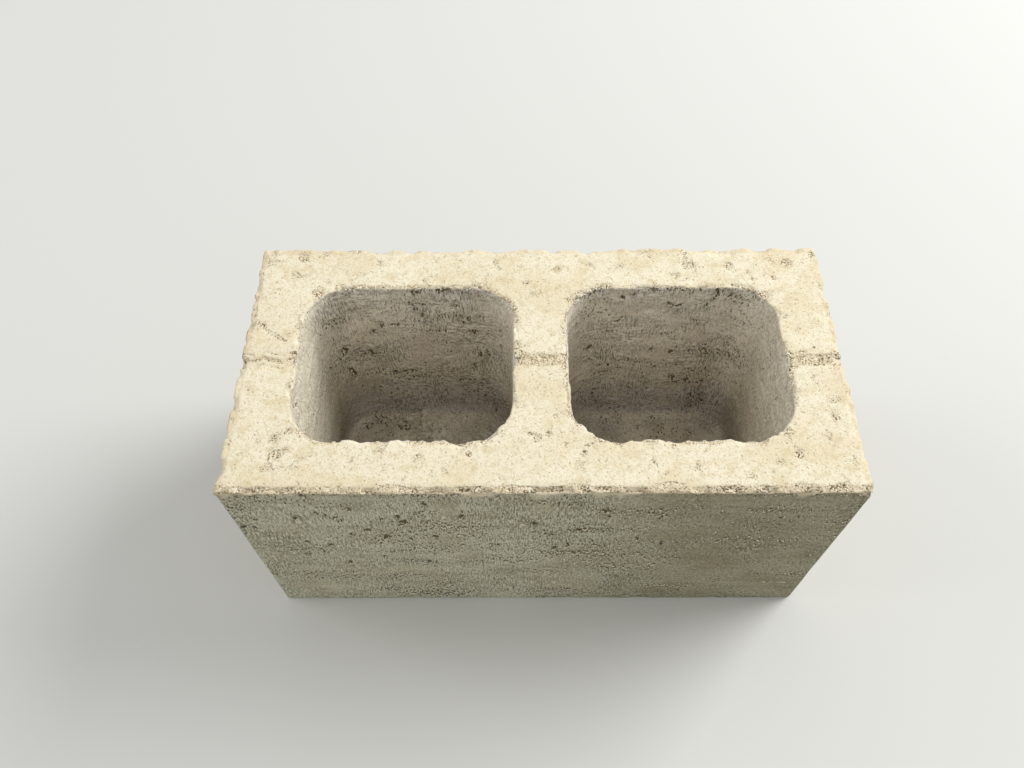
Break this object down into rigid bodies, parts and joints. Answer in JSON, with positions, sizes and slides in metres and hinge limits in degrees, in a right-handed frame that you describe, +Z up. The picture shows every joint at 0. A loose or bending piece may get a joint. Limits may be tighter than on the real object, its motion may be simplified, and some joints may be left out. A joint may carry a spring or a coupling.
{
  "type": "cellular concrete block",
  "caption": "Cellular concrete masonry block with plain square ends and two drafted, round-cornered cells, open at the top bed face and closed by a floor at the bottom.",
  "frame": {"origin": "centre of the bottom bed face, at floor level", "axes": "+X along the block's length, +Y across its thickness from the front face shell to the back one, +Z up along the cells"},
  "size_m": [0.39, 0.19, 0.19],
  "materials": {
    "concrete": "matt, rough, dry-pressed buff concrete"
  },
  "bodies": {
    "root": {"concrete_block": "concrete"}
  },
  "joints": []
}
